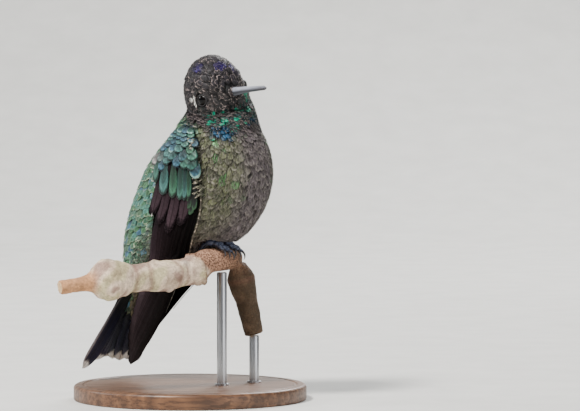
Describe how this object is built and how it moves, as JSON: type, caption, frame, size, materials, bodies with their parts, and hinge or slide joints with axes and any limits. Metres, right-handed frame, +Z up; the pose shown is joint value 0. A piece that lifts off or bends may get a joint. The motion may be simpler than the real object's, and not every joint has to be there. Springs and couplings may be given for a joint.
{
  "type": "hummingbird model on a perch and stand",
  "caption": "Life-size hummingbird with folded wings gripping a cut length of branch, held on a round flat stand by short rods.",
  "frame": {"origin": "centre of the stand base's underside", "axes": "+Z up; +X to the right and -Y towards the viewer when the bird is seen from its right front side, with its breast to the right and its tail to the lower left"},
  "size_m": [0.0739, 0.0717, 0.1033],
  "materials": {
    "crown_feathers": "overlapping dark brown feathers with pale fringes and violet gloss",
    "gorget_feathers": "scattered emerald and blue iridescent throat feathers among dark ones",
    "breast_feathers": "scaled bronze-green breast feathers",
    "belly_feathers": "soft grey-brown belly feathers with green glints",
    "back_feathers": "iridescent green and turquoise feathers with pale edges",
    "covert_feathers": "iridescent blue-green wing coverts with dark borders",
    "flight_feathers": "dull brown-black flight feathers with a slight sheen",
    "tail_feathers": "blue-black tail feathers with white tips",
    "bill_horn": "satin grey horn, paler along the top",
    "eye_gloss": "wet gloss, near black",
    "foot_scales": "dark scaly skin with bluish scutes",
    "claw_horn": "smooth dark horn",
    "bark": "rough bark, cream and brown",
    "stand_wood": "satin oiled wood",
    "stand_metal": "brushed steel rod"
  },
  "bodies": {
    "root": {"head": "crown_feathers", "neck": "gorget_feathers", "breast": "breast_feathers", "belly": "belly_feathers", "rump": "back_feathers", "bill_upper": "bill_horn", "bill_lower": "bill_horn", "eye_left": "eye_gloss", "eye_right": "eye_gloss", "wing_left_coverts": "covert_feathers", "wing_left_secondaries": "flight_feathers", "wing_left_primaries": "flight_feathers", "wing_left_tip": "flight_feathers", "wing_right_coverts": "covert_feathers", "wing_right_secondaries": "flight_feathers", "wing_right_primaries": "flight_feathers", "wing_right_tip": "flight_feathers", "tail_feather_left_1": "tail_feathers", "tail_feather_left_2": "tail_feathers", "tail_feather_left_3": "tail_feathers", "tail_feather_left_4": "tail_feathers", "tail_feather_left_5": "tail_feathers", "tail_feather_right_1": "tail_feathers", "tail_feather_right_2": "tail_feathers", "tail_feather_right_3": "tail_feathers", "tail_feather_right_4": "tail_feathers", "tail_feather_right_5": "tail_feathers", "foot_left": "foot_scales", "claw_left_1": "claw_horn", "claw_left_2": "claw_horn", "claw_left_3": "claw_horn", "claw_left_4": "claw_horn", "foot_right": "foot_scales", "claw_right_1": "claw_horn", "claw_right_2": "claw_horn", "claw_right_3": "claw_horn", "claw_right_4": "claw_horn", "perch_grip": "bark", "perch_middle": "bark", "perch_knob": "bark", "perch_stem": "bark", "perch_down_stem": "bark", "stand_base": "stand_wood", "stand_rod_grip": "stand_metal", "stand_rod_stem": "stand_metal"}
  },
  "joints": []
}
